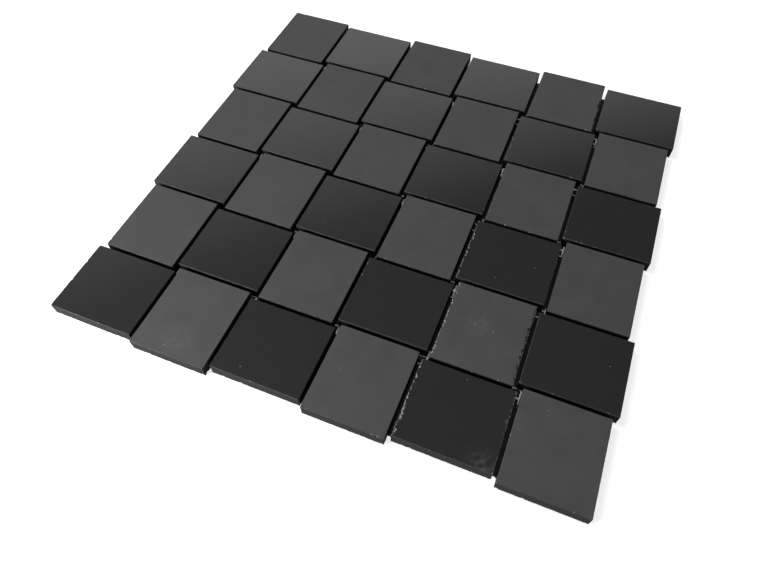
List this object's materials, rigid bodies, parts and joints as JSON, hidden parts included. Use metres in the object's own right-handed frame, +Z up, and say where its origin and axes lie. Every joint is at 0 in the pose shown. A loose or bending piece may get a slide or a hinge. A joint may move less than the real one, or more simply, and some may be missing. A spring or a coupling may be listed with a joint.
{
  "type": "mosaic tile sheet",
  "caption": "Square sheet of polished and honed dark stone tiles laid crosswise to each other, with open joints for grout, on a fibreglass backing mesh.",
  "frame": {"origin": "centre of the sheet's underside, on the plane that the mesh rests on", "axes": "+X across the sheet, along the polished tiles' long sides; +Y to the back, along the honed tiles' long sides; +Z up, out of the tiles' faces"},
  "size_m": [0.3056, 0.3056, 0.008],
  "materials": {
    "stone_polished": "polished",
    "stone_honed": "honed, matt",
    "mesh": "resin-coated fibreglass strands"
  },
  "bodies": {
    "root": {"polished_tile_r1_c1": "stone_polished", "polished_tile_r1_c3": "stone_polished", "polished_tile_r1_c5": "stone_polished", "polished_tile_r2_c2": "stone_polished", "polished_tile_r2_c4": "stone_polished", "polished_tile_r2_c6": "stone_polished", "polished_tile_r3_c1": "stone_polished", "polished_tile_r3_c3": "stone_polished", "polished_tile_r3_c5": "stone_polished", "polished_tile_r4_c2": "stone_polished", "polished_tile_r4_c4": "stone_polished", "polished_tile_r4_c6": "stone_polished", "polished_tile_r5_c1": "stone_polished", "polished_tile_r5_c3": "stone_polished", "polished_tile_r5_c5": "stone_polished", "polished_tile_r6_c2": "stone_polished", "polished_tile_r6_c4": "stone_polished", "polished_tile_r6_c6": "stone_polished", "honed_tile_r1_c2": "stone_honed", "honed_tile_r1_c4": "stone_honed", "honed_tile_r1_c6": "stone_honed", "honed_tile_r2_c1": "stone_honed", "honed_tile_r2_c3": "stone_honed", "honed_tile_r2_c5": "stone_honed", "honed_tile_r3_c2": "stone_honed", "honed_tile_r3_c4": "stone_honed", "honed_tile_r3_c6": "stone_honed", "honed_tile_r4_c1": "stone_honed", "honed_tile_r4_c3": "stone_honed", "honed_tile_r4_c5": "stone_honed", "honed_tile_r5_c2": "stone_honed", "honed_tile_r5_c4": "stone_honed", "honed_tile_r5_c6": "stone_honed", "honed_tile_r6_c1": "stone_honed", "honed_tile_r6_c3": "stone_honed", "honed_tile_r6_c5": "stone_honed", "backing_mesh_r1_c1": "mesh", "backing_mesh_r1_c2": "mesh", "backing_mesh_r1_c3": "mesh", "backing_mesh_r2_c1": "mesh", "backing_mesh_r2_c2": "mesh", "backing_mesh_r2_c3": "mesh", "backing_mesh_r3_c1": "mesh", "backing_mesh_r3_c2": "mesh", "backing_mesh_r3_c3": "mesh"}
  },
  "joints": []
}
